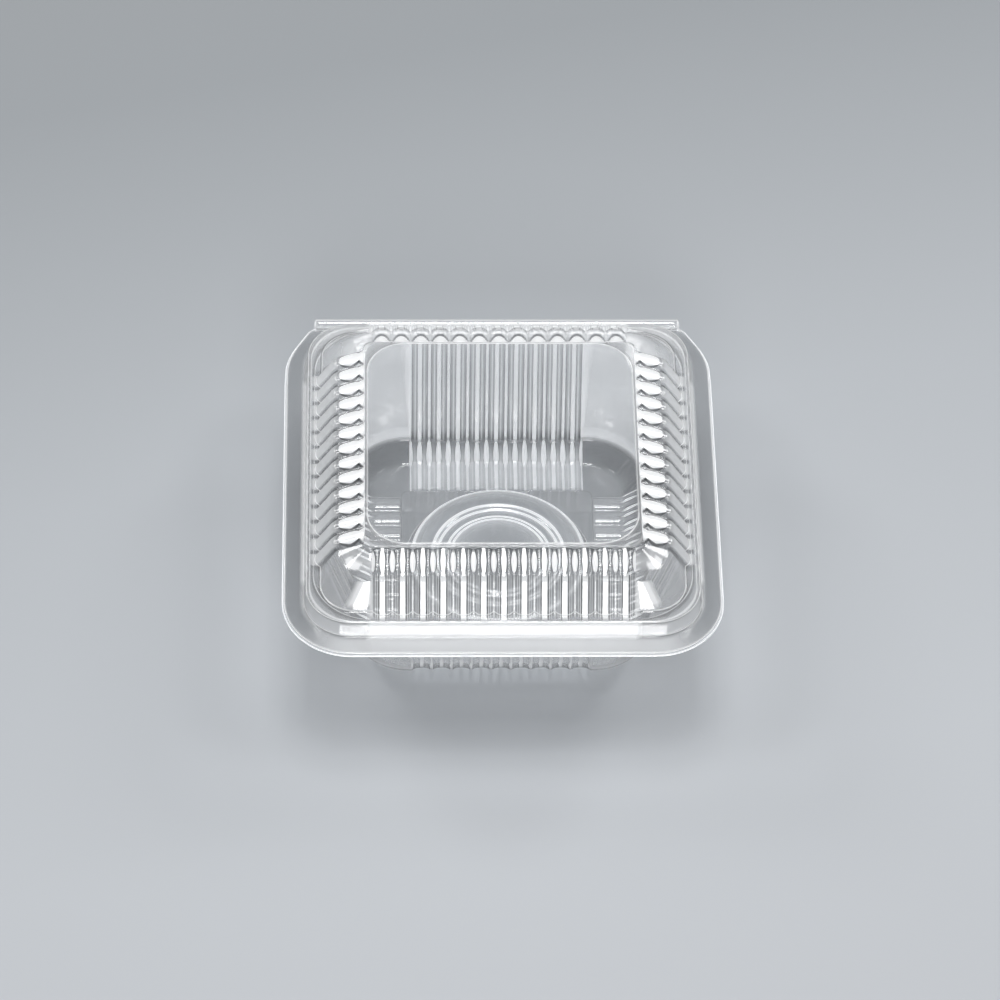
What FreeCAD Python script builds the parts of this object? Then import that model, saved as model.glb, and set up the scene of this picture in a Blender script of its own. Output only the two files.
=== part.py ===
import FreeCAD, Part
import math
import os
from collections import namedtuple

# Square food pack formed from one clear sheet: a fluted tray and a fluted lid that meet at a
# rolled hinge along the back. Millimetres, +Z up, front towards -Y.
# The origin is under the middle of the closed pack, on the surface that it stands on.

os.makedirs("parts", exist_ok=True)

# The sheet, and the gaps between the two halves when the pack is closed.
film = 0.4
flange_gap = 0.3
nest_clearance = 0.4

# Heights. The tray's is taken from the ground to the plane where the flanges meet,
# the lid's and the skirt's from the top face of the lid's flange.
tray_depth = 38.0
lid_height = 18.3
skirt_height = 5.65

# The lid's skirt, which stands on the flange and closes over the tray's rim.
skirt_half_x = 59.3
skirt_half_y = 61.15
skirt_corner = 14.0
skirt_draft = 0.5

# Flanges, as their widths outside the skirt. The tray's flange stands out a little past the lid's.
flange_side_width = 6.0
flange_front_width = 6.45
flange_rear_width = 2.45
flange_corner_width = 6.3
tray_flange_extra = 0.6
hinge_corner_inset = 7.8
hinge_corner_length = 13.0
hinge_corner_blend = 25.0

# Flutes. One width serves the lid and the tray, and each side holds as many as fit.
flute_width = 6.0
flute_margin = 0.2
lid_flute_depth = 1.8
lid_crown_flute_depth = 1.4
lid_shoulder_lean = 35.0
tray_flute_depth = 1.1

# The lid above its skirt, measured in the valleys of the flutes.
ledge_width_x = 2.6
ledge_width_y = 2.55
lid_wall_run = 4.9
lid_shoulder_drop = 5.1
lid_shoulder_run = 8.0
lid_crown_corner = 2.1
crown_lip = 0.15
panel_inset = 0.9
panel_corner = 12.0
panel_step = 0.3

# The tray's rim, wall and cove, measured on the inner face of the sheet.
rim_width = 1.4
tray_corner = 18.0
tray_wall_run_x = 11.0
tray_wall_run_y = 11.35
tray_flute_start = 8.0
tray_cove_height = 5.0
tray_cove_reach = 6.4
floor_flute_margin = 2.8

# The raised round centre of the tray's floor and its two rings.
punt_clearance = 0.8
punt_height = 4.2
punt_slope_width = 2.2
outer_ring_inset = 6.4
outer_ring_drop = 0.8
ring_slope_width = 1.4
inner_ring_inset = 2.8
inner_ring_rise = 0.6

# The rolled hinge: an upper half on the lid and a lower half on the tray, with closed ends.
hinge_end_margin = 0.5
hinge_radius = 1.85

# Derived places.
z_axis = FreeCAD.Vector(0, 0, 1)
lid_flange_top = tray_depth + flange_gap / 2 + film
tray_flange_top = tray_depth - flange_gap / 2
lid_ledge_top = lid_flange_top + skirt_height
lid_panel_top = lid_flange_top + lid_height
lid_crown_top = lid_panel_top - panel_step
rim_top = lid_ledge_top - film - nest_clearance
tray_floor = film
flange_half_width = skirt_half_x + flange_side_width
flange_front = skirt_half_y + flange_front_width
flange_rear = skirt_half_y + flange_rear_width
flange_corner = skirt_corner + flange_corner_width
rear_reach = flange_rear + 2 * hinge_radius
pocket_y = (flange_front + tray_flange_extra - rear_reach) / 2
hinge_centre_y = flange_rear + hinge_radius
hinge_half_length = flange_half_width - hinge_corner_inset - hinge_end_margin
lid_foot_half_x = skirt_half_x - skirt_draft - ledge_width_x - lid_flute_depth
lid_foot_half_y = skirt_half_y - skirt_draft - ledge_width_y - lid_flute_depth
lid_shoulder_half = min(lid_foot_half_x, lid_foot_half_y) - lid_wall_run
lid_crown_half = lid_shoulder_half - lid_shoulder_run
panel_half = lid_crown_half - panel_inset
rim_foot_half_x = skirt_half_x - film - nest_clearance
rim_foot_half_y = skirt_half_y - film - nest_clearance
tray_foot_half_x = rim_foot_half_x - skirt_draft - rim_width - tray_wall_run_x - tray_cove_reach
tray_foot_half_y = rim_foot_half_y - skirt_draft - rim_width - tray_wall_run_y - tray_cove_reach
tray_foot_corner = tray_corner - tray_cove_reach

# One level of a formed wall: half sizes, height, corner radius, and the depth and lean of its flutes.
# The lean is the direction in which a flute stands off the wall: 0 is outwards, 90 is up, 180 is inwards.
Level = namedtuple("Level", "half_x half_y height corner depth lean")

# Along and outward directions of the four sides, counter-clockwise from the front.
SIDES = [((1, 0), (0, -1)), ((0, 1), (1, 0)), ((-1, 0), (0, 1)), ((0, -1), (-1, 0))]


def flutes_along(straight_half):
    # How many flutes fit on a straight run of this half length.
    return int(2 * (straight_half - flute_margin) / flute_width)


lid_flute_count = flutes_along(lid_crown_half - lid_crown_corner)
tray_flute_count = flutes_along(min(tray_foot_half_x, tray_foot_half_y) - tray_foot_corner)
floor_flute_end = tray_flute_count * flute_width / 2 + floor_flute_margin
punt_radius = floor_flute_end - punt_clearance
outer_ring_radius = punt_radius - punt_slope_width - outer_ring_inset
inner_ring_radius = outer_ring_radius - ring_slope_width - inner_ring_inset


def vector(x, y, z):
    return FreeCAD.Vector(x, y + pocket_y, z)


def segment(start, end):
    return Part.LineSegment(start, end).toShape()


def arc(start, middle, end):
    return Part.Arc(start, middle, end).toShape()


def place(level, side, s, stand_off=0):
    # Point on one side of a level, at s along it and stand_off off the wall in the direction of the lean.
    along, out = SIDES[side]
    half_out = level.half_y if along[0] else level.half_x
    lean = math.radians(level.lean)
    reach = half_out + stand_off * math.cos(lean)
    rise = level.height + stand_off * math.sin(lean)
    return vector(along[0] * s + out[0] * reach, along[1] * s + out[1] * reach, rise)


def straight_end(level, side):
    half_along = level.half_x if SIDES[side][0][0] else level.half_y
    return half_along - level.corner


def corner_centre(level, side):
    along, out = SIDES[side]
    end = straight_end(level, side)
    inner = straight_end(level, (side + 1) % 4)
    return vector(along[0] * end + out[0] * inner, along[1] * end + out[1] * inner, level.height)


def corner_arc(level, side):
    start = place(level, side, straight_end(level, side))
    centre = corner_centre(level, side)
    turn = FreeCAD.Rotation(z_axis, 45)
    middle = centre + turn.multVec(start - centre)
    finish = centre + turn.multVec(middle - centre)
    return arc(start, middle, finish)


def flute_stops(flutes):
    return [(k - flutes / 2) * flute_width for k in range(flutes + 1)]


def flute_edges(level, side, flutes):
    stops = flute_stops(flutes)
    edges = []
    for left, right in zip(stops, stops[1:]):
        middle = (left + right) / 2
        if level.depth:
            edges.append(arc(place(level, side, left), place(level, side, middle, level.depth), place(level, side, right)))
        else:
            edges.append(segment(place(level, side, left), place(level, side, right)))
    return edges


def side_edges(level, side, flutes):
    # One side from corner to corner, with the given number of flutes in its middle.
    end = straight_end(level, side)
    if not flutes:
        return [segment(place(level, side, -end), place(level, side, end))]
    run = flutes * flute_width / 2
    lead = segment(place(level, side, -end), place(level, side, -run))
    tail = segment(place(level, side, run), place(level, side, end))
    return [lead] + flute_edges(level, side, flutes) + [tail]


def outline(level, flutes):
    edges = []
    for side in range(4):
        edges += side_edges(level, side, flutes)
        edges.append(corner_arc(level, side))
    return edges


def flat(outer, inner=None):
    wires = [Part.Wire(outer)]
    if inner:
        wires.append(Part.Wire(inner))
    return Part.makeFace(wires, "Part::FaceMakerBullseye")


def ruled(lower, upper):
    return [Part.makeRuledSurface(a, b) for a, b in zip(lower, upper)]


def corner_face(lower, upper, side):
    # A cone or cylinder where both corners share an axis, otherwise a straight sweep of one radius.
    axis = corner_centre(lower, side)
    shift = corner_centre(upper, side) - axis
    if math.hypot(shift.x, shift.y) > film / 100:
        return Part.makeRuledSurface(corner_arc(lower, side), corner_arc(upper, side))
    low = place(lower, side, straight_end(lower, side))
    high = place(upper, side, straight_end(upper, side))
    return segment(low, high).revolve(axis, z_axis, 90)


def corner_faces(lower, upper):
    return [corner_face(lower, upper, side) for side in range(4)]


def fluted_band(lower, upper, flutes):
    faces = corner_faces(lower, upper)
    for side in range(4):
        faces += ruled(side_edges(lower, side, flutes), side_edges(upper, side, flutes))
    return faces


def flat_sided_band(lower, upper, lower_flutes, upper_flutes):
    # Each side is one flat face between its two edges, which may be divided differently.
    faces = corner_faces(lower, upper)
    for side in range(4):
        low_end = straight_end(lower, side)
        high_end = straight_end(upper, side)
        right = segment(place(lower, side, low_end), place(upper, side, high_end))
        left = segment(place(upper, side, -high_end), place(lower, side, -low_end))
        top = side_edges(upper, side, upper_flutes)[::-1]
        faces.append(flat(side_edges(lower, side, lower_flutes) + [right] + top + [left]))
    return faces


def flute_ends(level, flutes):
    # Flat end of each flute, between its curve and the plain wall or floor.
    plain = level._replace(depth=0)
    faces = []
    for side in range(4):
        for curve, chord in zip(flute_edges(level, side, flutes), flute_edges(plain, side, flutes)):
            faces.append(flat([curve, chord]))
    return faces


def rounded_path(corners):
    # Closed path through corner points, each with its own rounding radius; 0 keeps a corner sharp.
    points = [vector(*corner[:3]) for corner in corners]
    radii = [corner[3] for corner in corners]
    count = len(points)
    entries = []
    exits = []
    arcs = []
    for k in range(count):
        back = (points[k - 1] - points[k]).normalize()
        ahead = (points[(k + 1) % count] - points[k]).normalize()
        half = back.getAngle(ahead) / 2
        tangent = radii[k] / math.tan(half)
        entries.append(points[k] + back * tangent)
        exits.append(points[k] + ahead * tangent)
        bisector = (back + ahead).normalize()
        middle = points[k] + bisector * (radii[k] / math.sin(half) - radii[k])
        arcs.append([arc(entries[k], middle, exits[k])] if radii[k] else [])
    edges = []
    for k in range(count):
        edges += arcs[k]
        edges.append(segment(exits[k], entries[(k + 1) % count]))
    return edges


def flange_outline(extra, height):
    # Round corners at the front, long clipped corners beside the hinge.
    side = flange_half_width + extra
    front = -(flange_front + extra)
    rear = flange_rear + film / 2
    clip_x = side - hinge_corner_inset
    clip_y = flange_rear - hinge_corner_length
    front_corner = flange_corner + extra
    return rounded_path(
        [
            (-side, front, height, front_corner),
            (side, front, height, front_corner),
            (side, clip_y, height, hinge_corner_blend),
            (clip_x, rear, height, 0),
            (-clip_x, rear, height, 0),
            (-side, clip_y, height, hinge_corner_blend),
        ]
    )


def turned_left(start, end):
    length = math.hypot(end[0] - start[0], end[1] - start[1])
    return (-(end[1] - start[1]) / length, (end[0] - start[0]) / length)


def other_face(path):
    # Shift of each inner point of a section path to the other face of the sheet, mitred at the bends.
    shifts = []
    for before, here, after in zip(path, path[1:], path[2:]):
        first = turned_left(before, here)
        second = turned_left(here, after)
        scale = film / (1 + first[0] * second[0] + first[1] * second[1])
        shifts.append(((first[0] + second[0]) * scale, (first[1] + second[1]) * scale))
    return shifts


def shifted(level, shift):
    return level._replace(
        half_x=level.half_x + shift[0],
        half_y=level.half_y + shift[0],
        height=level.height + shift[1],
        corner=level.corner + shift[0],
    )


def section_point(level):
    return ((level.half_x + level.half_y) / 2, level.height)


def under_face(levels, outer_end, inner_end):
    path = [outer_end] + [section_point(level) for level in levels] + [inner_end]
    return [shifted(level, shift) for level, shift in zip(levels, other_face(path))]


def closed_solid(faces):
    skin = Part.makeCompound(faces)
    skin.sewShape()
    solid = Part.makeSolid(skin.Shells[0])
    if solid.Volume < 0:
        solid.reverse()
    return solid


def half_round(side, radius, half_length):
    # Half of a round bar along the back, above (1) or below (-1) the plane where the flanges meet.
    level = tray_depth + side * flange_gap / 2
    rear = vector(-half_length, hinge_centre_y + radius, level)
    crest = vector(-half_length, hinge_centre_y, level + side * radius)
    front = vector(-half_length, hinge_centre_y - radius, level)
    end_face = Part.Face(Part.Wire([arc(rear, crest, front), segment(front, rear)]))
    return end_face.extrude(FreeCAD.Vector(2 * half_length, 0, 0))


def half_hinge(side):
    # Half of the rolled hinge: a hollow half round with closed ends.
    outside = half_round(side, hinge_radius, hinge_half_length)
    inside = half_round(side, hinge_radius - film, hinge_half_length - film)
    return outside.cut(inside)


def lid_levels():
    shoulder_corner = lid_crown_corner + lid_shoulder_run
    shoulder_height = lid_panel_top - lid_shoulder_drop
    crown_height = lid_crown_top - crown_lip - lid_crown_flute_depth
    top_x = skirt_half_x - skirt_draft
    top_y = skirt_half_y - skirt_draft
    return [
        Level(skirt_half_x, skirt_half_y, lid_flange_top, skirt_corner, 0, 0),
        Level(top_x, top_y, lid_ledge_top, skirt_corner - skirt_draft, 0, 0),
        Level(lid_foot_half_x, lid_foot_half_y, lid_ledge_top, shoulder_corner, lid_flute_depth, 0),
        Level(
            lid_shoulder_half,
            lid_shoulder_half,
            shoulder_height,
            shoulder_corner,
            lid_flute_depth,
            lid_shoulder_lean,
        ),
        Level(lid_crown_half, lid_crown_half, crown_height, lid_crown_corner, lid_crown_flute_depth, 90),
        Level(lid_crown_half, lid_crown_half, lid_crown_top, lid_crown_corner, 0, 0),
        Level(panel_half, panel_half, lid_crown_top, panel_corner, 0, 0),
        Level(panel_half, panel_half, lid_panel_top, panel_corner, 0, 0),
    ]


def lid_skin(levels, flange_height):
    flutes = lid_flute_count
    skirt_foot, skirt_top, foot, shoulder, crown, crown_top, step, panel = levels
    faces = [flat(flange_outline(0, flange_height), outline(skirt_foot, 0))]
    faces += flat_sided_band(skirt_foot, skirt_top, 0, 0)
    faces.append(flat(outline(skirt_top, 0), outline(foot, flutes)))
    faces += fluted_band(foot, shoulder, flutes)
    faces += fluted_band(shoulder, crown, flutes)
    faces += flat_sided_band(crown, crown_top, flutes, 0)
    faces.append(flat(outline(crown_top, 0), outline(step, 0)))
    faces += flat_sided_band(step, panel, 0, 0)
    faces.append(flat(outline(panel, 0)))
    return faces


def lid():
    levels = lid_levels()
    under = under_face(levels, (flange_half_width, lid_flange_top), (0, lid_panel_top))
    # The foot keeps the shoulder's corner radius, so the wall between them is a straight sweep.
    under[2] = under[2]._replace(corner=under[3].corner)
    faces = lid_skin(levels, lid_flange_top)
    faces += lid_skin(under, lid_flange_top - film)
    faces += ruled(flange_outline(0, lid_flange_top - film), flange_outline(0, lid_flange_top))
    return closed_solid(faces).fuse(half_hinge(1))


def between(upper, lower, height):
    # Level on the straight wall between two others.
    share = (upper.height - height) / (upper.height - lower.height)
    return lower._replace(
        half_x=upper.half_x + (lower.half_x - upper.half_x) * share,
        half_y=upper.half_y + (lower.half_y - upper.half_y) * share,
        height=height,
    )


def tray_levels():
    rim_corner = skirt_corner - film - nest_clearance
    crest_x = rim_foot_half_x - skirt_draft
    crest_y = rim_foot_half_y - skirt_draft
    return [
        Level(rim_foot_half_x, rim_foot_half_y, tray_flange_top, rim_corner, 0, 0),
        Level(crest_x, crest_y, rim_top, rim_corner - skirt_draft, 0, 0),
        Level(crest_x - rim_width, crest_y - rim_width, rim_top, tray_corner, 0, 0),
        Level(
            tray_foot_half_x + tray_cove_reach,
            tray_foot_half_y + tray_cove_reach,
            tray_floor + tray_cove_height,
            tray_corner,
            tray_flute_depth,
            180,
        ),
        Level(tray_foot_half_x, tray_foot_half_y, tray_floor, tray_foot_corner, tray_flute_depth, 90),
    ]


def floor_outline(foot, end):
    # Edge of the flat floor: round the corners of the foot and in along the flutes to their ends.
    run = tray_flute_count * flute_width / 2
    plain = end._replace(depth=0)
    edges = []
    for side in range(4):
        stop = straight_end(foot, side)
        edges.append(segment(place(foot, side, -stop), place(foot, side, -run)))
        edges.append(segment(place(foot, side, -run), place(plain, side, -run)))
        edges += flute_edges(plain, side, tray_flute_count)
        edges.append(segment(place(plain, side, run), place(foot, side, run)))
        edges.append(segment(place(foot, side, run), place(foot, side, stop)))
        edges.append(corner_arc(foot, side))
    return edges


def punt_path():
    top = tray_floor + punt_height
    groove = top - outer_ring_drop
    return [
        (punt_radius, tray_floor),
        (punt_radius - punt_slope_width, top),
        (outer_ring_radius, top),
        (outer_ring_radius - ring_slope_width, groove),
        (inner_ring_radius, groove),
        (inner_ring_radius - ring_slope_width, groove + inner_ring_rise),
        (0, groove + inner_ring_rise),
    ]


def turned_faces(path):
    # Round faces of the raised centre, turned about the pack's vertical middle line.
    faces = []
    for a, b in zip(path, path[1:]):
        line = segment(vector(a[0], 0, a[1]), vector(b[0], 0, b[1]))
        faces += line.revolve(vector(0, 0, 0), z_axis, 360).Faces
    return faces


def tray_skin(levels, start_height, flute_end, centre, flange_height):
    flutes = tray_flute_count
    rim_foot, rim_outer, rim_inner, cove_top, foot = levels
    start = between(rim_inner, cove_top, start_height)
    end = foot._replace(half_x=flute_end, half_y=flute_end)
    faces = [flat(flange_outline(tray_flange_extra, flange_height), outline(rim_foot, 0))]
    faces += flat_sided_band(rim_foot, rim_outer, 0, 0)
    faces.append(flat(outline(rim_outer, 0), outline(rim_inner, 0)))
    faces += flat_sided_band(start._replace(depth=0), rim_inner, flutes, 0)
    faces += flute_ends(start, flutes)
    faces += fluted_band(cove_top, start, flutes)
    faces += fluted_band(foot, cove_top, flutes)
    for side in range(4):
        faces += ruled(flute_edges(end, side, flutes), flute_edges(foot, side, flutes))
    faces += flute_ends(end, flutes)
    faces.append(flat(floor_outline(foot, end), [Part.makeCircle(centre[0][0], vector(0, 0, centre[0][1]))]))
    faces += turned_faces(centre)
    return faces


def tray():
    levels = tray_levels()
    centre = punt_path()
    under = under_face(levels, (flange_half_width, tray_flange_top), centre[0])
    # The rim keeps the wall's corner radius, so the wall below it is a straight sweep.
    under[2] = under[2]._replace(corner=under[3].corner)
    centre_shifts = other_face([section_point(levels[-1])] + centre)
    under_centre = [(a[0] + s[0], a[1] + s[1]) for a, s in zip(centre, centre_shifts)]
    under_centre.append((0, centre[-1][1] - film))
    start_height = rim_top - tray_flute_start
    faces = tray_skin(levels, start_height, floor_flute_end, centre, tray_flange_top)
    faces += tray_skin(under, start_height - film, floor_flute_end + film, under_centre, tray_flange_top - film)
    edge_low = flange_outline(tray_flange_extra, tray_flange_top - film)
    edge_high = flange_outline(tray_flange_extra, tray_flange_top)
    faces += ruled(edge_low, edge_high)
    return closed_solid(faces).fuse(half_hinge(-1))


for name, shape in (("base_tray", tray()), ("lid", lid())):
    print(name, len(shape.Solids), shape.isValid(), round(shape.Volume, 1), len(shape.Faces))
    shape.exportStep("parts/" + name + ".step")
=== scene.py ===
import math

import bpy
import numpy as np
from mathutils import Matrix


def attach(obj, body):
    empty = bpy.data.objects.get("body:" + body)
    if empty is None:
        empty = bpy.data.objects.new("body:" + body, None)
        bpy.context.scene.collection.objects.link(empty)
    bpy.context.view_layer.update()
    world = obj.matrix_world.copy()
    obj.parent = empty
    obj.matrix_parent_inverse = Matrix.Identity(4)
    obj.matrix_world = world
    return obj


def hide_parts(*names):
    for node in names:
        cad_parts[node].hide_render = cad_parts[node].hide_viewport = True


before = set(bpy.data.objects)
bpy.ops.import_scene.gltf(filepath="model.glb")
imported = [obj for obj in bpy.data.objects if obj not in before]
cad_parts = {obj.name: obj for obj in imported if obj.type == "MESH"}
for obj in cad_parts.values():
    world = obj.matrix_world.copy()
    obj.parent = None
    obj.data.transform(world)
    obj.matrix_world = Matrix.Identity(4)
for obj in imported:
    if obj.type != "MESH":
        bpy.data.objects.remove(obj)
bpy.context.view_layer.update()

# ---------------------------------------------------------------- sizes of the pack
# Millimetres here, metres in the meshes.
MM = 0.001
POCKET_Y = 0.45  # from the origin back to the middle of the walls
FILM = 0.4
EDGE_ROUND = 0.16

# Flanges. Each height is that of the flange's top face.
FLANGE_HALF = 65.3
FLANGE_FRONT = 67.6
FLANGE_REAR = 63.6
FLANGE_CORNER = 20.3
TRAY_EXTRA = 0.6
CLIP_INSET = 7.8
CLIP_LENGTH = 13.0
CLIP_BLEND = 25.0
CLIP_CORNER = 0.6
LID_FLANGE = 38.55
TRAY_FLANGE = 37.85

# Levels of the lid and the tray.
LEDGE = 44.2
CROWN_TOP = 56.55
PANEL_TOP = 56.85
COLLAR_TOP = 43.4
FLOOR = 0.4
PUNT_TOP = 4.6
PUNT_RING = 3.8
PUNT_MIDDLE = 4.4

# Flutes, with half the length of each fluted run. MARGIN is the least plain run between the flutes and a corner.
PITCH = 6.0
MARGIN = 0.4
LID_RUN = 39.0
LID_FLUTE = 1.8
LID_FLUTE_LEAN = math.radians(35)
TRAY_RUN = 27.0
TRAY_FLUTE = 1.1

# Tray wall and foot.
WALL_TOP_X, WALL_TOP_Y = 56.6, 58.45
WALL_RUN_X, WALL_RUN_Y, WALL_DROP = 11.0, 11.35, 38.0
WALL_CORNER = 18.0
FOOT_X, FOOT_Y, FOOT_CORNER = 39.2, 40.7, 11.6
COVE_REACH, COVE_RISE = 6.4, 5.0

# Rolled hinge.
ROLL_RADIUS = 1.85
ROLL_HALF = 57.0
ROLL_END = 0.8
ROLL_LIFT = 0.15
PARTING = 38.0

# Row of painted arcs, highlights with painted dark rims, where the lid's flutes end at the sides and behind the
# panel: how far out, how deep, how thick a rim.
ARC_START = 41.6
ARC_SIDE, ARC_REAR = 1.9, 3.6
RIM_SIDE, RIM_REAR = 0.42, 0.75

# Painted highlights on the lid: heights and turn of the patches beside the front flutes, turn and place of the round
# ones.
PATCH_LOW, PATCH_HIGH, PATCH_TURN = 45.2, 51.0, 0.22
SPOT_TURN, SPOT_Y = 0.5, 47.0

# Rows of the cut edge of a flange, and the places of the rows between it and the wall.
EDGE_STEPS = 5
EDGE_ROWS = 2 * EDGE_STEPS + 1
FLANGE_SHARES = (0.85, 0.6, 0.3)

# A turn that no front corner has.
FAR = 9.0


# ---------------------------------------------------------------- outlines
def fillet_path(corners, steps=14):
    """Closed path through corners given as x, y, radius."""
    path = []
    count = len(corners)
    for i, (x, y, radius) in enumerate(corners):
        here = np.array([x, y])
        before = np.array(corners[i - 1][:2]) - here
        after = np.array(corners[(i + 1) % count][:2]) - here
        before /= np.linalg.norm(before)
        after /= np.linalg.norm(after)
        if radius <= 0:
            path.append(here)
            continue
        half = math.acos(np.clip(before @ after, -1, 1)) / 2
        run = radius / math.tan(half)
        bisector = before + after
        bisector /= np.linalg.norm(bisector)
        centre = here + bisector * radius / math.sin(half)
        start = here + before * run - centre
        end = here + after * run - centre
        a = math.atan2(start[1], start[0])
        turn = (math.atan2(end[1], end[0]) - a + math.pi) % (2 * math.pi) - math.pi
        for k in range(steps + 1):
            t = a + turn * k / steps
            path.append(centre + radius * np.array([math.cos(t), math.sin(t)]))
    return np.array(path)


def flange_path(extra):
    """Outline of a flange that stands out by extra past the lid's."""
    side = FLANGE_HALF + extra
    front = -(FLANGE_FRONT + extra)
    rear = FLANGE_REAR + FILM / 2
    clip_x = side - CLIP_INSET
    clip_y = FLANGE_REAR - CLIP_LENGTH
    return fillet_path(
        [
            (-side, front, FLANGE_CORNER + extra),
            (side, front, FLANGE_CORNER + extra),
            (side, clip_y, CLIP_BLEND),
            (clip_x, rear, CLIP_CORNER),
            (-clip_x, rear, CLIP_CORNER),
            (-side, clip_y, CLIP_BLEND),
        ]
    )


def reach(points, normals, path):
    """How far each point lies from a closed path along its normal."""
    edge = np.roll(path, -1, axis=0) - path
    best = np.full(len(points), 1e9)
    for k in range(len(path)):
        cross = normals[:, 0] * edge[k, 1] - normals[:, 1] * edge[k, 0]
        gap = path[k] - points
        with np.errstate(divide="ignore", invalid="ignore"):
            t = (gap[:, 0] * edge[k, 1] - gap[:, 1] * edge[k, 0]) / cross
            u = (gap[:, 0] * normals[:, 1] - gap[:, 1] * normals[:, 0]) / cross
        good = (np.abs(cross) > 1e-9) & (t > 0) & (u >= -1e-6) & (u <= 1 + 1e-6)
        best = np.where(good & (t < best), t, best)
    return best


# ---------------------------------------------------------------- the fluted shell as rows round the pack
def lobe(s, run, soft):
    """Unit height of the flutes at s along a side, with broad crests and softened valleys."""
    total = np.zeros_like(s)
    taps = (-1.0, -0.5, 0.0, 0.5, 1.0)
    for tap in taps:
        at = s + tap * soft
        share = np.abs(np.mod(at + run, PITCH) / PITCH * 2 - 1)
        total += np.where(np.abs(at) < run, 1 - share**3, 0)
    return total / len(taps)


class Ring:
    """Stations round the pack: flutes, plain runs and corners of all four sides."""

    def __init__(self, run, per_flute, end_steps, corner_steps, soft, side_spread):
        # A station is its kind, its share of a plain run or corner, and its place along the flutes. The kinds are
        # -1 and 1 for the plain runs before and after the flutes, 0 for the flutes and 2 for the corner after them.
        count = int(round(2 * run / PITCH)) * per_flute
        kinds = [(-1, k / end_steps, 0.0) for k in range(end_steps, 0, -1)]
        kinds += [(0, 0.0, s) for s in np.linspace(-run, run, count + 1)]
        kinds += [(1, k / end_steps, 0.0) for k in range(1, end_steps + 1)]
        kinds += [(2, k / corner_steps, 0.0) for k in range(1, corner_steps)]
        self.kinds = np.array(kinds)
        self.run = run
        fluted = self.kinds[:, 0] == 0
        self.height = np.where(fluted, lobe(self.kinds[:, 2], run, soft), 0.0)
        # Place across a flute, 0 at its crest and 1 in its valley. The sides show their painted lines side_spread as
        # wide.
        place = np.abs(np.mod(self.kinds[:, 2] + run, PITCH) / PITCH * 2 - 1)
        place = np.where(fluted, place, 1.0)
        self.place = np.tile(place, 4)
        self.across = np.concatenate([place, place * side_spread] * 2)
        self.fluted = np.tile(fluted.astype(float), 4)
        # The sides are 0 front, 1 right, 2 rear and 3 left, each with the corner after it.
        self.side = np.repeat([0, 1, 2, 3], len(fluted))
        # Turn round the front corners: 0 on the front's plain runs, 1 where a side wall starts, and FAR elsewhere.
        kind = np.tile(np.abs(self.kinds[:, 0]), 4)
        share = np.tile(self.kinds[:, 1], 4)
        turn = np.where((self.side == 0) & (kind == 1), 0.0, FAR)
        turn = np.where((self.side == 0) & (kind == 2), share, turn)
        self.front_turn = np.where((self.side == 3) & (kind == 2), 1 - share, turn)
        # How far each station faces back, from -1 to 1. The size of the row makes no difference to it.
        self.backward = self.row(50.0, 50.0, 0.0, 10.0)[1][:, 1]

    def row(self, half_x, half_y, z, radius, out=0.0, up=0.0):
        """Points and outward normals of one row."""
        points, normals, heights = [], [], []
        kind, share, s = self.kinds.T
        for side in range(4):
            angle = side * math.pi / 2
            along = np.array([math.cos(angle), math.sin(angle)])
            outward = np.array([math.sin(angle), -math.cos(angle)])
            half_along, half_out = (half_x, half_y) if side % 2 == 0 else (half_y, half_x)
            end = half_along - radius
            inner = half_out - radius
            scale = min(1.0, end / (self.run + MARGIN))
            edge = self.run * scale
            a = np.where(kind == 0, s * scale, 0.0)
            a = np.where(kind == 1, edge + share * (end - edge), a)
            a = np.where(kind == -1, -edge - share * (end - edge), a)
            o = half_out + out * self.height
            turn = share * math.pi / 2
            corner = kind == 2
            a = np.where(corner, end + radius * np.sin(turn), a)
            o = np.where(corner, inner + radius * np.cos(turn), o)
            na = np.where(corner, np.sin(turn), 0.0)
            no = np.where(corner, np.cos(turn), 1.0)
            points.append(a[:, None] * along + o[:, None] * outward)
            normals.append(na[:, None] * along + no[:, None] * outward)
            heights.append(z + up * self.height)
        xy = np.concatenate(points)
        heights = np.concatenate(heights)
        return np.column_stack([xy, heights]), np.concatenate(normals)


def rounded_profile(levels):
    """Levels with every inner bend turned into a short curve.

    A level is its numbers, its tones, the cut at its bend, the rows after it and how strongly its fold's painted
    lines show.
    """
    values = [np.array(level[0] + level[1], float) for level in levels]
    cuts = [level[2] for level in levels]
    fills = [level[3] for level in levels]
    marks = [level[4] for level in levels]
    rows = [values[0]]
    folds = {}
    last = values[0]
    for i in range(1, len(values) - 1):
        back = values[i - 1] - values[i]
        ahead = values[i + 1] - values[i]
        size_back = max(np.linalg.norm(back[[0, 2]]), np.linalg.norm(back[[1, 2]]), 1e-6)
        size_ahead = max(np.linalg.norm(ahead[[0, 2]]), np.linalg.norm(ahead[[1, 2]]), 1e-6)
        start = values[i] + back * min(0.48, cuts[i] / size_back)
        end = values[i] + ahead * min(0.48, cuts[i] / size_ahead)
        for k in range(1, fills[i - 1] + 1):
            rows.append(last + (start - last) * k / (fills[i - 1] + 1))
        steps = 6 if cuts[i] > 0.3 else 4
        for k in range(steps + 1):
            t = k / steps
            folds[len(rows)] = (t, marks[i])
            rows.append(start * (1 - t) ** 2 + values[i] * 2 * t * (1 - t) + end * t * t)
        last = end
    for k in range(1, fills[-2] + 1):
        rows.append(last + (values[-1] - last) * k / (fills[-2] + 1))
    rows.append(values[-1])
    return rows, folds


# Tones of the sheet: place across the flutes, strength of the painted wall lines, strength of the painted beads,
# painted light (highlights and haze) and painted shade.
TONES = ("across", "wall", "bead", "light", "dark")


def bell(x, middle, width):
    """Smooth bump of height 1."""
    return np.exp(-(((x - middle) / width) ** 2))


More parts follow.
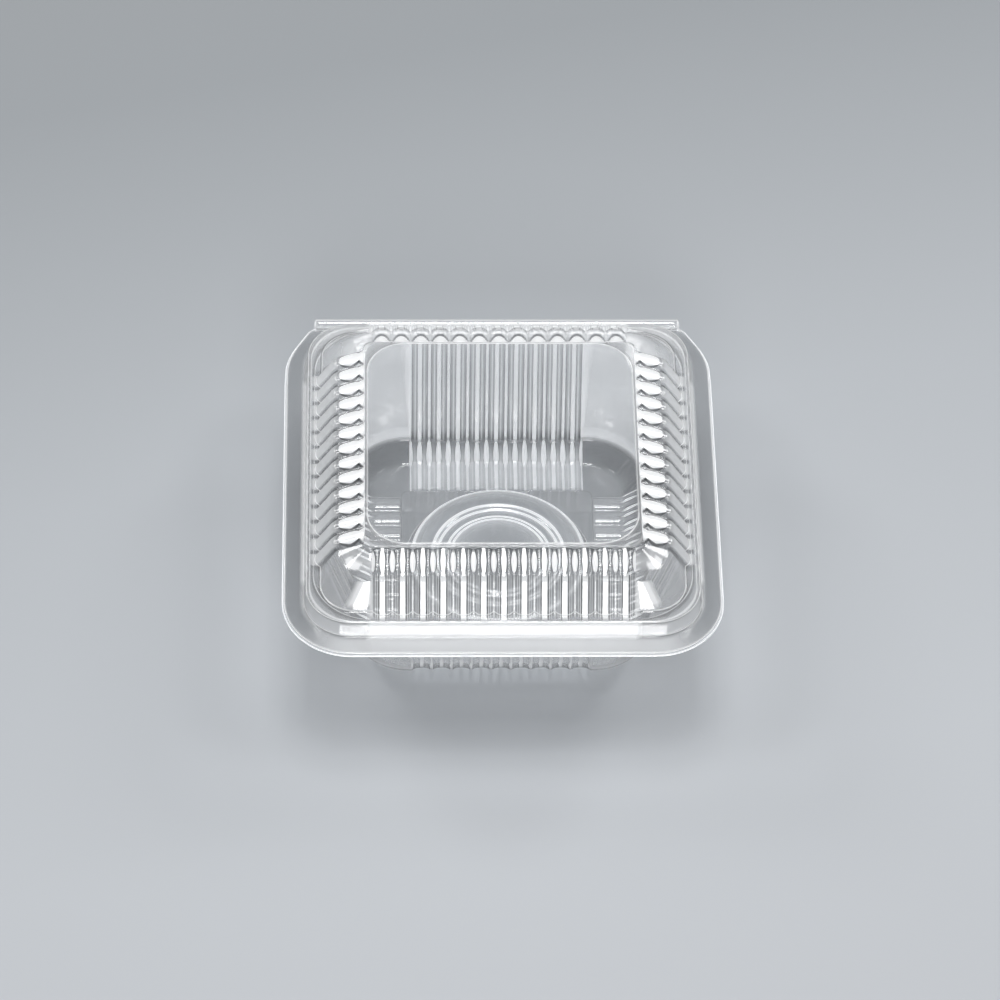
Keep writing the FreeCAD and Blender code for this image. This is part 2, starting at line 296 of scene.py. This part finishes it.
def tone_rows(ring, profile, folds, shares, front_corners):
    """The tones of each row: place across the flutes, painted wall lines, painted beads, painted light and painted
    shade.

    The shares say how strongly the painted patterns and the painted haze show on the front, right, rear and left
    flutes, and front_corners how much painted haze the plain sheet has in front against behind.
    """
    wall_share, bead_share, haze_share = (np.array(share)[ring.side] for share in shares)
    plain_share = front_corners + (1 - front_corners) * np.clip(ring.backward, 0, 1)
    tones = []
    for i, values in enumerate(profile):
        wall, bead, haze, plain_haze, dark, plain_dark = values[6:12]
        light = np.where(ring.fluted > 0, haze * haze_share, plain_haze * plain_share)
        shade = np.where(ring.fluted > 0, dark, plain_dark)
        if i in folds:
            # A fold shows a painted shade line and then a painted highlight line.
            t, strength = folds[i]
            crown = strength == 1
            width = 0.3 if crown else 0.2
            line_dark = strength * bell(t, 0.3, width)
            line_light = strength * bell(t, 0.75, width)
            if crown:
                # The crown's fold has painted highlight at the ends of the flutes and painted shade between them.
                line_dark = line_dark * (0.25 + ring.fluted * (0.15 + 0.6 * ring.place))
                line_light = line_light * (0.25 + ring.fluted * (0.75 - 0.7 * ring.place))
            shade = np.maximum(shade, line_dark)
            light = np.maximum(light, line_light)
        half_y, height = values[1:3]
        if LEDGE < height < CROWN_TOP and half_y < LID_RUN + 8:
            # At the sides and behind the panel the flutes end in a row of painted highlight arcs with painted dark
            # rims.
            rear = ring.side == 2
            arc = ARC_START + np.where(rear, ARC_REAR, ARC_SIDE) * (1 - ring.place**2)
            thick = np.where(rear, RIM_REAR, RIM_SIDE)
            shown = (ring.side > 0) * ring.fluted
            rim = bell(half_y, arc, thick) * shown
            inside = np.clip((arc - 0.6 * thick - half_y) / 0.2, 0, 1) * shown
            shade = np.where(shown > 0, rim, shade)
            light = np.maximum(light, 0.95 * inside) * (1 - 0.9 * rim)
        wall = wall * ring.fluted * wall_share
        bead = bead * ring.fluted * bead_share
        tones.append((ring.across, wall, bead, np.minimum(light, 1), shade))
    return tones


def front_painted_highlights(ring, values, tone):
    """Painted highlights: patches beside the front flutes, and a round one on the shoulder of each front corner."""
    across, wall, bead, light, dark = tone
    half_y, height = values[1:3]
    face = np.clip((height - PATCH_LOW) / 0.3, 0, 1) * np.clip((PATCH_HIGH - height) / 0.3, 0, 1)
    patch = face * np.clip((PATCH_TURN - ring.front_turn) / 0.06, 0, 1)
    spot = bell(ring.front_turn, SPOT_TURN, 0.3) * bell(half_y, SPOT_Y, 2.2)
    white = np.maximum(patch, np.clip((spot - 0.5) / 0.12, 0, 1))
    return across, wall, bead, np.maximum(light, 0.95 * white), dark * (1 - white)


def flange_rows(ring, first, path, height):
    """Rows from the rounded outer edge of the flange in to the first row of the wall."""
    points, normals = ring.row(*first)
    far = reach(points[:, :2], normals, path)
    rows = []
    for k in range(EDGE_STEPS + 1):
        # The cut edge of the sheet: rounded from its under side to its top.
        turn = math.pi / 2 * k / EDGE_STEPS
        inset = EDGE_ROUND * (1 - math.sin(turn))
        rows.append((far - inset, height - FILM + (FILM - EDGE_ROUND) * (1 - math.cos(turn))))
    for k in range(1, EDGE_STEPS + 1):
        turn = math.pi / 2 * k / EDGE_STEPS
        inset = EDGE_ROUND * (1 - math.cos(turn))
        rows.append((far - inset, height - EDGE_ROUND * (1 - math.sin(turn))))
    for share in FLANGE_SHARES:
        rows.append((far * share, height))
    out = []
    for distance, z in rows:
        xy = points[:, :2] + normals * np.asarray(distance)[:, None]
        out.append(np.column_stack([xy, np.full(len(xy), z)]))
    return out


def grid_mesh(name, rows, tones, cap=True, closed_ring=True):
    """Smooth mesh of quads between the rows, with the tones of each row as attributes of its points."""
    count = len(rows[0])
    verts = np.concatenate(rows)
    faces = []
    wrap = count if closed_ring else count - 1
    for i in range(len(rows) - 1):
        base, after = i * count, (i + 1) * count
        for j in range(wrap):
            k = (j + 1) % count
            faces.append((base + j, base + k, after + k, after + j))
    if cap:
        centre = len(verts)
        verts = np.vstack([verts, rows[-1].mean(axis=0)])
        base = (len(rows) - 1) * count
        for j in range(wrap):
            faces.append((base + j, base + (j + 1) % count, centre))
    verts = verts + np.array([0, POCKET_Y, 0])
    mesh = bpy.data.meshes.new(name)
    mesh.from_pydata((verts * MM).tolist(), [], faces)
    mesh.update()
    mesh.polygons.foreach_set("use_smooth", [True] * len(mesh.polygons))
    for index, kind in enumerate(TONES):
        layer = mesh.attributes.new(kind, "FLOAT", "POINT")
        values = np.zeros(len(verts), np.float32)
        for i, tone in tones.items():
            values[i * count : (i + 1) * count] = tone[index]
        layer.data.foreach_set("value", values)
    piece = bpy.data.objects.new(name, mesh)
    bpy.context.scene.collection.objects.link(piece)
    return piece


def edge_tones(ring, first, haze):
    """Painted highlight on the cut edge of the sheet, painted haze on the flange in front and less behind, and
    painted shade on it at the sides.
    """
    none = np.zeros(len(ring.across))
    outward = ring.row(*first)[1][:, 1]
    ends = outward**4
    ahead = ends * np.where(outward < 0, haze, 0.3 * haze)
    tones = {}
    for i in range(EDGE_ROWS):
        tones[i] = (none, none, none, none + (0.9 if 1 <= i <= 8 else 0.5), none)
    for i in range(EDGE_ROWS, EDGE_ROWS + len(FLANGE_SHARES) + 1):
        tones[i] = (none, none, none, ahead, 0.1 * (1 - ends))
    return tones


# ---------------------------------------------------------------- lid
def lid_rows():
    """Rows and tones of the lid, from the edge of its flange to the middle of its panel."""
    ring = Ring(LID_RUN, per_flute=12, end_steps=3, corner_steps=16, soft=0.3, side_spread=0.37)
    out, up = LID_FLUTE * math.cos(LID_FLUTE_LEAN), LID_FLUTE * math.sin(LID_FLUTE_LEAN)
    # A level is (half x, half y, height, corner radius, flutes out, flutes up),
    # (painted wall lines, painted beads, painted haze, painted haze on plain sheet, painted shade, painted shade on
    # plain sheet), cut, rows after it, strength of the fold's painted lines.
    levels = [
        ((60.8, 62.65, LID_FLANGE, 15.5, 0, 0), (0, 0, 0.08, 0.08, 0, 0), 0.0, 0, 0),
        ((59.3, 61.15, LID_FLANGE, 14.0, 0, 0), (0, 0, 0.95, 0.3, 0, 0), 0.6, 2, 0.8),
        ((58.8, 60.65, LEDGE, 13.5, 0, 0), (0, 0, 0.95, 0.3, 0, 0), 0.7, 1, 0.7),
        ((57.9, 59.75, LEDGE, 13.0, 0.3, 0), (0, 0, 0.12, 0.1, 0.05, 0), 0.2, 0, 0),
        ((54.4, 56.3, LEDGE, 10.1, LID_FLUTE, 0), (1, 0, 0.15, 0.12, 0.1, 0), 0.6, 3, 0.7),
        ((49.5, 49.5, 51.75, 10.1, out, up), (1, 0, 0.12, 0.15, 0.4, 0), 1.6, 5, 0),
        ((48.0, 48.0, 52.36, 8.6, out * 0.81, up * 0.81 + 0.26), (0, 0, 0.1, 0.2, 0.4, 0), 0.3, 1, 0),
        ((45.0, 45.0, 53.58, 5.6, out * 0.44, up * 0.44 + 0.79), (0, 1, 0.12, 0.35, 0, 0), 0.3, 7, 0),
        ((42.6, 42.6, 54.55, 3.2, out * 0.14, up * 0.14 + 1.2), (0, 0.1, 0.1, 0.2, 0.6, 0), 0.3, 4, 0),
        ((41.5, 41.5, 55.0, 2.1, 0, 1.4), (0, 0, 0.05, 0.1, 0.9, 0.3), 0.5, 1, 1),
        ((41.5, 41.5, CROWN_TOP, 2.1, 0, 0), (0, 0, 0.3, 0.1, 0.3, 0), 0.35, 1, 0.3),
        ((40.6, 40.6, CROWN_TOP, 12.0, 0, 0), (0, 0, 0.25, 0.15, 0.5, 0.5), 0.12, 0, 0),
        ((40.6, 40.6, PANEL_TOP, 12.0, 0, 0), (0, 0, 0.85, 0.85, 0, 0), 0.15, 0, 0),
        ((40.0, 40.0, PANEL_TOP, 11.4, 0, 0), (0, 0, 0, 0, 0, 0), 0.2, 1, 0),
        ((38.0, 38.0, PANEL_TOP, 9.4, 0, 0), (0, 0, 0, 0, 0, 0), 0.0, 0, 0),
    ]
    profile, folds = rounded_profile(levels)
    rows = flange_rows(ring, profile[0][:6], flange_path(0), LID_FLANGE)
    tones = edge_tones(ring, profile[0][:6], haze=0.3)
    # Strength of the painted wall lines, painted beads and painted haze at the front, right, rear and left.
    shares = ((1, 0.5, 0.6, 0.5), (1, 1, 0, 1), (1, 0.75, 1.5, 0.75))
    for i, tone in enumerate(tone_rows(ring, profile, folds, shares, front_corners=1.0)):
        # Painted highlights beside the front flutes and on the front corners go over the lid's tones.
        if i > 0:
            tones[len(rows) + i] = front_painted_highlights(ring, profile[i], tone)
    rows += [ring.row(*values[:6])[0] for values in profile]
    last = rows[-1]
    middle = last.mean(axis=0)
    for share in (0.75, 0.5, 0.25, 0.08):
        rows.append(middle + (last - middle) * share)
    return rows, tones


# ---------------------------------------------------------------- tray
def tray_rows():
    """Rows and tones of the tray, from the edge of its flange to the middle of its floor."""
    ring = Ring(TRAY_RUN, per_flute=14, end_steps=3, corner_steps=20, soft=0.45, side_spread=1.0)
    diagonal = math.sin(math.radians(45))

    def wall(share, flute):
        """A level at a share of the way down the sloping wall."""
        return (
            WALL_TOP_X - WALL_RUN_X * share,
            WALL_TOP_Y - WALL_RUN_Y * share,
            COLLAR_TOP - WALL_DROP * share,
            WALL_CORNER,
            -TRAY_FLUTE * flute,
            0,
        )

    cove = (
        FOOT_X + COVE_REACH * (1 - diagonal),
        FOOT_Y + COVE_REACH * (1 - diagonal),
        FLOOR + COVE_RISE * (1 - diagonal),
        FOOT_CORNER + COVE_REACH * (1 - diagonal),
        -TRAY_FLUTE * diagonal,
        TRAY_FLUTE * diagonal,
    )
    levels = [
        ((60.2, 62.05, TRAY_FLANGE, 14.9, 0, 0), (0, 0, 0.08, 0.08, 0, 0), 0.0, 0, 0),
        ((58.5, 60.35, TRAY_FLANGE, 13.2, 0, 0), (0, 0, 0.3, 0.3, 0, 0), 0.6, 2, 0.6),
        ((58.0, 59.85, COLLAR_TOP, 12.7, 0, 0), (0, 0, 0.3, 0.3, 0, 0), 0.55, 0, 0.6),
        (wall(0.0, 0.0), (0, 0, 0.2, 0.2, 0, 0), 0.55, 2, 0.7),
        (wall(0.21, 0.0), (0.7, 0, 0.2, 0.5, 0, 0), 2.0, 3, 0),
        (wall(0.88, 0.85), (1, 0, 0.25, 0.6, 0.1, 0), 0.2, 1, 0),
        (wall(0.96, 0.95), (1, 0, 0.1, 1, 0.5, 0), 0.2, 0, 0),
        (wall(1.0, 1.0), (0, 0, 0.1, 0.1, 0.5, 0.5), 1.0, 2, 0),
        (cove, (0, 1, 0.4, 0.05, 0, 0.25), 1.8, 3, 0),
        ((FOOT_X, FOOT_Y, FLOOR, FOOT_CORNER, 0, TRAY_FLUTE), (0.35, 0, 0.4, 0.03, 0, 0.05), 1.8, 3, 0),
        ((30.2, 30.2, FLOOR, 2.4, 0, TRAY_FLUTE), (0.35, 0, 0.25, 0, 0, 0), 0.4, 0, 0),
        ((29.7, 29.7, FLOOR, 2.1, 0, 0), (0, 0, 0.1, 0, 0, 0), 0.25, 0, 0.25),
        ((29.5, 29.5, FLOOR, 1.9, 0, 0), (0, 0, 0, 0, 0, 0), 0.0, 0, 0),
    ]
    profile, folds = rounded_profile(levels)
    rows = flange_rows(ring, profile[0][:6], flange_path(TRAY_EXTRA), TRAY_FLANGE)
    tones = edge_tones(ring, profile[0][:6], haze=0.15)
    # Strength of the painted wall lines, painted beads and painted haze at the front, right, rear and left.
    shares = ((0.12, 0.15, 1, 0.15), (0.15, 0.2, 1, 0.2), (0.2, 0.25, 1, 0.25))
    for i, tone in enumerate(tone_rows(ring, profile, folds, shares, front_corners=0.15)):
        if i > 0:
            tones[len(rows) + i] = tone
    rows += [ring.row(*values[:6])[0] for values in profile]
    last = rows[-1]
    angle = np.arctan2(last[:, 1], last[:, 0])
    unit = np.column_stack([np.cos(angle), np.sin(angle), np.zeros(len(angle))])
    up = np.array([0, 0, 1.0])
    # The raised centre and its rings, as radius, height and the cut at each bend.
    turned = [
        (29.25, FLOOR, 0.0),
        (29.0, FLOOR, 0.2),
        (26.8, PUNT_TOP, 1.1),
        (20.4, PUNT_TOP, 0.8),
        (19.0, PUNT_RING, 0.7),
        (16.2, PUNT_RING, 0.7),
        (14.8, PUNT_MIDDLE, 0.7),
        (9.0, PUNT_MIDDLE, 0.0),
    ]
    # Painted highlight on the sheet through each bend of the raised centre.
    bend_painted_highlight = (0.0, 0.6, 1.0, 0.7, 0.2)
    path = [np.array(turned[0][:2])]
    bends = [0.0]
    for i in range(1, len(turned) - 1):
        here = np.array(turned[i][:2])
        back = np.array(turned[i - 1][:2]) - here
        ahead = np.array(turned[i + 1][:2]) - here
        start = here + back * min(0.45, turned[i][2] / np.linalg.norm(back))
        end = here + ahead * min(0.45, turned[i][2] / np.linalg.norm(ahead))
        for k, bright in enumerate(bend_painted_highlight):
            t = k / (len(bend_painted_highlight) - 1)
            bends.append(bright)
            path.append(start * (1 - t) ** 2 + here * 2 * t * (1 - t) + end * t * t)
    path.append(np.array(turned[-1][:2]))
    none = np.zeros(len(angle))
    for i, bend in enumerate(bends):
        tones[len(rows) + i] = (none, none, none, none + bend, none)
    for radius, z in path + [(4.0, PUNT_MIDDLE), (1.0, PUNT_MIDDLE)]:
        rows.append(unit * radius + up * z)
    return rows, tones


# ---------------------------------------------------------------- rolled hinge
def roll_rows(side):
    """One half of the rolled hinge, with its closed and rounded ends."""
    centre_y = FLANGE_REAR + ROLL_RADIUS
    base = PARTING + side * ROLL_LIFT
    rows = []
    tones = {}
    arc = np.linspace(0, math.pi, 25)
    none = np.zeros(len(arc))
    # Painted highlight along the roll and painted shade where it meets the flange; the rounded ends get a flat
    # painted highlight.
    light = 0.12 + 0.5 * bell(arc, 1.9, 0.3)
    dark = 0.8 * bell(arc, 0.0, 0.3)
    # Places along the hinge, with the share of the full radius there.
    end_rows = 7
    stations = []
    for k in range(end_rows):
        turn = math.pi / 2 * k / (end_rows - 1)
        stations.append((-ROLL_HALF + ROLL_END * (1 - math.cos(turn)), 0.02 + 0.98 * math.sin(turn)))
    plain = ROLL_HALF - 2 * ROLL_END
    stations += [(x, 1.0) for x in np.linspace(-plain, plain, 24)]
    stations += [(-x, grow) for x, grow in reversed(stations[:end_rows])]
    for x, grow in stations:
        y = centre_y - ROLL_RADIUS * grow * np.cos(arc)
        z = base + side * ROLL_RADIUS * grow * np.sin(arc)
        tones[len(rows)] = (none, none, none, light if grow > 0.99 else none + 0.7, dark)
        rows.append(np.column_stack([np.full(len(arc), x), y, z]))
    return rows, tones


# ---------------------------------------------------------------- materials
def node(tree, kind, **values):
    """A new node with some of its properties set."""
    made = tree.nodes.new(kind)
    for key, value in values.items():
        setattr(made, key, value)
    return made


def ramp_of(tree, source, stops):
    """A ramp of greys or colours by position."""
    made = node(tree, "ShaderNodeValToRGB")
    band = made.color_ramp
    while len(band.elements) < len(stops):
        band.elements.new(0.5)
    for element, (position, value) in zip(band.elements, stops):
        element.position = position
        element.color = (*value, 1) if isinstance(value, tuple) else (value, value, value, 1)
    tree.links.new(source, made.inputs["Fac"])
    return made.outputs["Color"]


def math_of(tree, kind, a, b, clamp=False):
    """A math node on two sockets or numbers."""
    made = node(tree, "ShaderNodeMath", operation=kind, use_clamp=clamp)
    for socket, value in zip(made.inputs, (a, b)):
        if isinstance(value, float):
            socket.default_value = value
        else:
            tree.links.new(value, socket)
    return made.outputs[0]


# Painted beads: highlights with painted dark outlines, from the middle of a bead (0) outwards. Their ends taper and
# fade with the bead tone.
BEAD_TAPER, BEAD_FADE = 0.28, 8.0
BEAD_PAINTED_HIGHLIGHT = [(0, 0.9), (0.27, 0.9), (0.31, 0), (1, 0)]
BEAD_PAINTED_SHADE = [(0, 0), (0.28, 0), (0.33, 0.9), (0.38, 0.9), (0.44, 0.1), (1, 0.05)]
# What the clear part lets through, from face on (0) to edge on (1), for the eye and for the light that casts shadows.
SEEN = [(0, 0.99), (0.7, 0.88), (1, 0.15)]
CAST = [(0, 0.97), (0.25, 0.88), (0.5, 0.4), (0.7, 0.15), (1, 0)]
# What the clear part still lets through where painted shade lies.
PAINTED_SHADE_TINT = (0.12, 0.13, 0.14, 1)
MIRROR_LEAST, MIRROR_GAIN, MIRROR_POWER = 0.09, 0.88, 5.0
HAZE_GAIN, HAZE_POWER = 0.16, 2.0
SHINE_ROUGHNESS = 0.035
WAVES_PER_METRE, WAVE_STRENGTH = 70.0, 0.06


def film_material(name, wall_painted_light, wall_painted_dark, front_white, rear_white):
    """Thin clear sheet: mirror, see-through and cloudy parts, with painted highlight lines and painted shade lines
    along its flutes and folds.

    The two ramps give the painted highlight lines and the painted shade lines of a wall, from the crest of a flute
    (0) to its valley (1).
    """
    material = bpy.data.materials.new(name)
    material.use_nodes = True
    tree = material.node_tree
    tree.nodes.clear()
    link = tree.links.new
    out = node(tree, "ShaderNodeOutputMaterial")
    facing = node(tree, "ShaderNodeLayerWeight")
    facing.inputs["Blend"].default_value = 0.5
    side_on = facing.outputs["Facing"]
    tone = {kind: node(tree, "ShaderNodeAttribute", attribute_name=kind).outputs["Fac"] for kind in TONES}

    # Painted highlight and painted shade lines along the flutes of the walls, and painted highlight beads with
    # painted dark outlines on the shoulders, one on each crest and valley.
    bead = math_of(tree, "POWER", tone["bead"], BEAD_TAPER)
    shown = math_of(tree, "MULTIPLY", tone["bead"], BEAD_FADE, True)
    room = math_of(tree, "MAXIMUM", bead, 0.01)
    crest = math_of(tree, "DIVIDE", tone["across"], room)
    valley = math_of(tree, "DIVIDE", math_of(tree, "SUBTRACT", 1.0, tone["across"]), room)
    nearer = math_of(tree, "MINIMUM", crest, valley, True)
    bead_light = ramp_of(tree, nearer, BEAD_PAINTED_HIGHLIGHT)
    bead_dark = ramp_of(tree, nearer, BEAD_PAINTED_SHADE)
    wall_bright = math_of(tree, "MULTIPLY", ramp_of(tree, tone["across"], wall_painted_light), tone["wall"])
    wall_shade = math_of(tree, "MULTIPLY", ramp_of(tree, tone["across"], wall_painted_dark), tone["wall"])
    light = math_of(tree, "ADD", tone["light"], wall_bright)
    light = math_of(tree, "ADD", light, math_of(tree, "MULTIPLY", bead_light, shown), True)
    dark = math_of(tree, "ADD", tone["dark"], wall_shade)
    dark = math_of(tree, "ADD", dark, math_of(tree, "MULTIPLY", bead_dark, shown), True)

    shine = node(tree, "ShaderNodeBsdfGlossy")
    shine.inputs["Roughness"].default_value = SHINE_ROUGHNESS
    steep = math_of(tree, "POWER", side_on, MIRROR_POWER)
    mirror = math_of(tree, "ADD", math_of(tree, "MULTIPLY", steep, MIRROR_GAIN), MIRROR_LEAST)

    clear = node(tree, "ShaderNodeBsdfTransparent")
    seen = ramp_of(tree, side_on, SEEN)
    cast = ramp_of(tree, side_on, CAST)
    path = node(tree, "ShaderNodeLightPath")
    pick = node(tree, "ShaderNodeMixRGB", blend_type="MIX")
    link(path.outputs["Is Shadow Ray"], pick.inputs["Fac"])
    link(seen, pick.inputs["Color1"])
    link(cast, pick.inputs["Color2"])
    shade = node(tree, "ShaderNodeMixRGB", blend_type="MULTIPLY")
    shade.inputs["Color2"].default_value = PAINTED_SHADE_TINT
    link(dark, shade.inputs["Fac"])
    link(pick.outputs["Color"], shade.inputs["Color1"])
    link(shade.outputs["Color"], clear.inputs["Color"])

    # Painted light and haze show as a white sheet that scatters to both faces at once, sending back more light than
    # falls on it.
    matt = node(tree, "ShaderNodeBsdfDiffuse")
    matt.inputs["Color"].default_value = (front_white, front_white, front_white, 1)
    through = node(tree, "ShaderNodeBsdfTranslucent")
    through.inputs["Color"].default_value = (rear_white, rear_white, rear_white, 1)
    cloud = node(tree, "ShaderNodeAddShader")
    link(matt.outputs["BSDF"], cloud.inputs[0])
    link(through.outputs["BSDF"], cloud.inputs[1])
    slanted = math_of(tree, "POWER", side_on, HAZE_POWER)
    haze = math_of(tree, "ADD", math_of(tree, "MULTIPLY", slanted, HAZE_GAIN), light, True)

    body = node(tree, "ShaderNodeMixShader")
    link(haze, body.inputs["Fac"])
    link(clear.outputs["BSDF"], body.inputs[1])
    link(cloud.outputs["Shader"], body.inputs[2])
    whole = node(tree, "ShaderNodeMixShader")
    link(mirror, whole.inputs["Fac"])
    link(body.outputs["Shader"], whole.inputs[1])
    link(shine.outputs["BSDF"], whole.inputs[2])
    link(whole.outputs["Shader"], out.inputs["Surface"])

    # The formed sheet is never quite flat.
    place = node(tree, "ShaderNodeTexCoord")
    noise = node(tree, "ShaderNodeTexNoise")
    noise.inputs["Scale"].default_value = WAVES_PER_METRE
    noise.inputs["Detail"].default_value = 1.0
    bump = node(tree, "ShaderNodeBump")
    bump.inputs["Strength"].default_value = WAVE_STRENGTH
    bump.inputs["Distance"].default_value = MM
    link(place.outputs["Object"], noise.inputs["Vector"])
    link(noise.outputs["Fac"], bump.inputs["Height"])
    link(bump.outputs["Normal"], shine.inputs["Normal"])
    return material


# Colours of the floor, from the front to the back.
PAPER = [
    (0.0, (0.600, 0.617, 0.645)),
    (0.30, (0.590, 0.612, 0.640)),
    (0.55, (0.520, 0.543, 0.570)),
    (0.72, (0.440, 0.462, 0.485)),
    (0.85, (0.380, 0.400, 0.420)),
    (1.0, (0.375, 0.392, 0.408)),
]
PAPER_SLANT = (-0.25, 1.0, 0.0)
PAPER_FRONT, PAPER_BACK = -0.275, 0.325


def floor_material():
    """Matt paper that is a little darker towards the back and the left."""
    material = bpy.data.materials.new("studio_floor")
    material.use_nodes = True
    tree = material.node_tree
    link = tree.links.new
    paper = tree.nodes["Principled BSDF"]
    paper.inputs["Roughness"].default_value = 0.85
    paper.inputs["Specular IOR Level"].default_value = 0.0
    place = node(tree, "ShaderNodeTexCoord")
    slant = node(tree, "ShaderNodeVectorMath", operation="DOT_PRODUCT")
    slant.inputs[1].default_value = PAPER_SLANT
    span = node(tree, "ShaderNodeMapRange")
    span.inputs["From Min"].default_value = PAPER_FRONT
    span.inputs["From Max"].default_value = PAPER_BACK
    link(place.outputs["Object"], slant.inputs[0])
    link(slant.outputs["Value"], span.inputs["Value"])
    link(ramp_of(tree, span.outputs["Result"], PAPER), paper.inputs["Base Color"])
    return material


# ---------------------------------------------------------------- pieces
# Painted highlight lines and painted shade lines across a flute of each wall, from its crest (0) to its valley (1).
lid_painted_light_lines = [
    (0, 0.85), (0.24, 0.85), (0.3, 0), (0.42, 0), (0.46, 0.75), (0.5, 0.1),
    (0.62, 0.05), (0.68, 0.4), (0.73, 0.05), (0.9, 0.05), (0.95, 0.4), (1, 0.5),
]
lid_painted_dark_lines = [
    (0, 0), (0.29, 0), (0.34, 1), (0.39, 1), (0.44, 0), (0.52, 0.3),
    (0.6, 0.05), (0.78, 0.3), (0.88, 0.1), (0.94, 0), (1, 0),
]
tray_painted_light_lines = [
    (0, 1), (0.17, 1), (0.22, 0), (0.38, 0.05), (0.48, 0.3), (0.58, 0.05),
    (0.85, 0), (0.9, 0.9), (1, 1),
]
tray_painted_dark_lines = [
    (0, 0), (0.2, 0), (0.25, 0.75), (0.3, 0.75), (0.36, 0.05), (0.62, 0),
    (0.72, 0.9), (0.79, 0.9), (0.85, 0.1), (0.88, 0), (1, 0),
]
lid_film = film_material("lid_film", lid_painted_light_lines, lid_painted_dark_lines, front_white=0.83, rear_white=0.5)
tray_film = film_material("tray_film", tray_painted_light_lines, tray_painted_dark_lines, front_white=0.95, rear_white=0.95)
lid_shell = grid_mesh("lid_shell", *lid_rows())
tray_shell = grid_mesh("tray_shell", *tray_rows())
hinge_upper = grid_mesh("hinge_upper", *roll_rows(1), cap=False, closed_ring=False)
hinge_lower = grid_mesh("hinge_lower", *roll_rows(-1), cap=False, closed_ring=False)
for piece, body in (
    (lid_shell, "lid"),
    (hinge_upper, "lid"),
    (tray_shell, "tray"),
    (hinge_lower, "tray"),
):
    piece.data.materials.append(lid_film if body == "lid" else tray_film)
    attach(piece, body)
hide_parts("lid")
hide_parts("base_tray")

# ---------------------------------------------------------------- floor
bpy.ops.mesh.primitive_circle_add(vertices=96, radius=4.0, fill_type="NGON", location=(0, 0, 0))
floor = bpy.context.object
floor.name = "studio_floor"
floor.data.materials.append(floor_material())

# ---------------------------------------------------------------- world and lights
world = bpy.data.worlds.new("studio")
bpy.context.scene.world = world
world.use_nodes = True
world.node_tree.nodes["Background"].inputs["Color"].default_value = (0.42, 0.44, 0.46, 1)
world.node_tree.nodes["Background"].inputs["Strength"].default_value = 0.36


def softbox(name, place, target, size_x, size_y, radiance):
    """A rectangular lamp at a place, turned to a target and unseen by the camera."""
    data = bpy.data.lights.new(name, "AREA")
    data.shape = "RECTANGLE"
    data.size = size_x
    data.size_y = size_y
    # An area light of power P sends out P / (pi * area) from each point of its face.
    data.energy = radiance * math.pi * size_x * size_y
    light = bpy.data.objects.new(name, data)
    back = np.array(place, float) - np.array(target, float)
    back /= np.linalg.norm(back)
    right = np.cross([0.0, 0.0, 1.0], back)
    if np.linalg.norm(right) < 1e-6:
        right = np.array([1.0, 0.0, 0.0])
    right /= np.linalg.norm(right)
    up = np.cross(back, right)
    turn = Matrix((right, up, back)).transposed().to_4x4()
    turn.translation = place
    light.matrix_world = turn
    light.visible_camera = False
    bpy.context.scene.collection.objects.link(light)
    return light


AIM = (0, 0, 0.03)
for lamp, at, width, height, radiance in (
    ("light_top", (0.0, 0.02, 1.25), 0.26, 0.26, 16.5),
    ("light_back", (0.0, 0.40, 1.20), 0.25, 0.25, 11.0),
    ("light_front", (0.0, -1.05, 0.69), 0.5, 0.3, 9.0),
    ("light_side_left", (-0.75, 0.15, 1.05), 0.28, 0.28, 7.0),
    ("light_side_right", (0.75, 0.15, 1.05), 0.28, 0.28, 7.0),
    ("light_left", (-0.80, 0.66, 0.70), 0.3, 0.3, 7.5),
    ("light_right", (0.80, 0.66, 0.70), 0.3, 0.3, 7.5),
):
    softbox(lamp, at, AIM, width, height, radiance)
# A small card low in front, seen only in the sheen of the upright faces.
card = softbox("light_low", (0.0, -0.0812, 0.0187), (0, -0.0612, 0.0414), 0.12, 0.012, 8.0)
card.visible_diffuse = False
card.visible_transmission = False

# ---------------------------------------------------------------- camera
# Angles in radians, fitted to the outlines of the pack.
TILT = 0.846725
YAW = -0.0379955
ROLL = 0.0279178
back = np.array(
    [math.sin(YAW) * math.cos(TILT), -math.cos(YAW) * math.cos(TILT), math.sin(TILT)]
)
right = np.array([math.cos(YAW), math.sin(YAW), 0.0])
up = np.cross(back, right)
right, up = (
    right * math.cos(ROLL) + up * math.sin(ROLL),
    up * math.cos(ROLL) - right * math.sin(ROLL),
)
lens = bpy.data.cameras.new("camera")
lens.sensor_fit = "HORIZONTAL"
lens.sensor_width = 36.0
lens.lens = 190.388
lens.shift_x = -0.00037
lens.shift_y = -0.0184
lens.clip_start = 0.05
lens.clip_end = 50.0
camera = bpy.data.objects.new("camera", lens)
place = Matrix((right, up, back)).transposed().to_4x4()
place.translation = (-0.04043, -1.06304, 1.24206)
camera.matrix_world = place
bpy.context.scene.collection.objects.link(camera)
bpy.context.scene.camera = camera
bpy.context.scene.view_settings.view_transform = "Standard"
